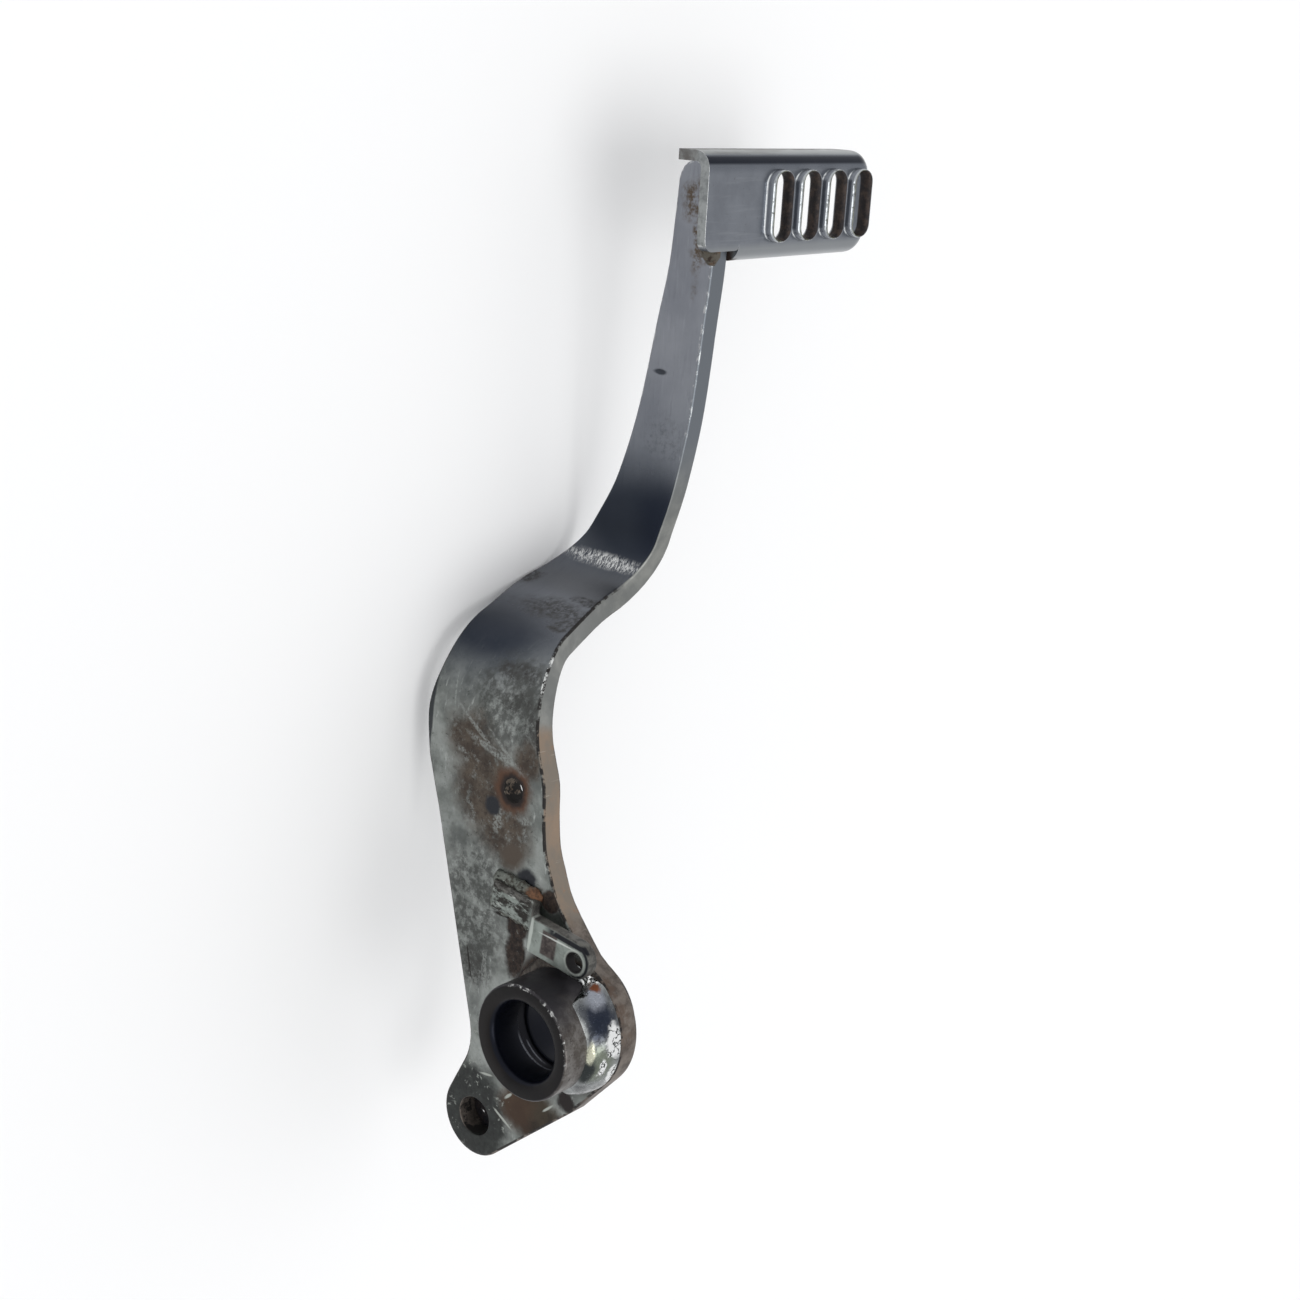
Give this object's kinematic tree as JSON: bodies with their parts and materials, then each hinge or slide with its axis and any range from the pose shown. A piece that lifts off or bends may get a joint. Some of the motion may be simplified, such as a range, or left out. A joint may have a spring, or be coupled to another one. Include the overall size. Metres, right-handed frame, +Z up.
{
  "type": "rear brake pedal",
  "caption": "Right-side rear brake pedal: S-bent flat steel lever with a welded pivot tube, a brake-rod lug, a spring tab and a pressed slotted tread.",
  "frame": {"origin": "on the pivot axis, in the plane of the arm's inboard face", "axes": "+X forward from the pivot to the tread, +Y inboard along the pivot axis, +Z up and square to the tread"},
  "size_m": [0.2532, 0.1268, 0.075],
  "materials": {
    "arm_chrome": "worn satin chrome plate with dirt and rust stains",
    "tread_chrome": "satin chrome plate, worn to bare steel on the rims",
    "tube_steel": "dark, greasy and lightly rusted",
    "weld_chrome": "bright plated weld bead, brown at its toes",
    "weld_rust": "rusted weld bead",
    "tab_steel": "dull plated steel"
  },
  "bodies": {
    "root": {"lever_arm": "arm_chrome", "pivot_tube": "tube_steel", "pivot_weld_inner": "weld_chrome", "pivot_weld_outer": "weld_chrome", "tread_pad": "tread_chrome", "tread_weld": "weld_rust", "spring_tab": "tab_steel", "tab_weld": "weld_rust"}
  },
  "joints": []
}
